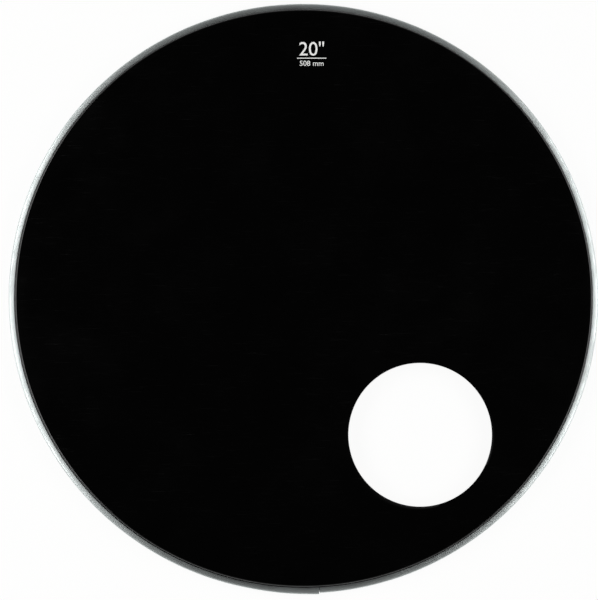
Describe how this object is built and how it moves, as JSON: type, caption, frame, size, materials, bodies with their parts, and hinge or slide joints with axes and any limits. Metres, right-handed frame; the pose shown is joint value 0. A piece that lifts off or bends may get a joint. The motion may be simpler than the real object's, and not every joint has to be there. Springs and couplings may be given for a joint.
{
  "type": "bass drum head",
  "caption": "Round black film head for a bass drum, with a formed collar, an offset sound port and a crimped aluminium hoop that locks the film's hem round a wire.",
  "frame": {"origin": "centre of the hoop's underside, on the drum's axis", "axes": "+Z along the drum's axis towards the playing side; seen from there, +X is to the right and +Y is up with the port low on the right"},
  "size_m": [0.523, 0.5238, 0.0195],
  "materials": {
    "black_film": "gloss",
    "hoop_aluminium": "mill finish, drawn along the strip",
    "wire_steel": "zinc plated",
    "splice_aluminium": "mill finish"
  },
  "bodies": {
    "root": {"film": "black_film", "hoop": "hoop_aluminium", "lock_wire": "wire_steel", "hoop_splice": "splice_aluminium"}
  },
  "joints": []
}
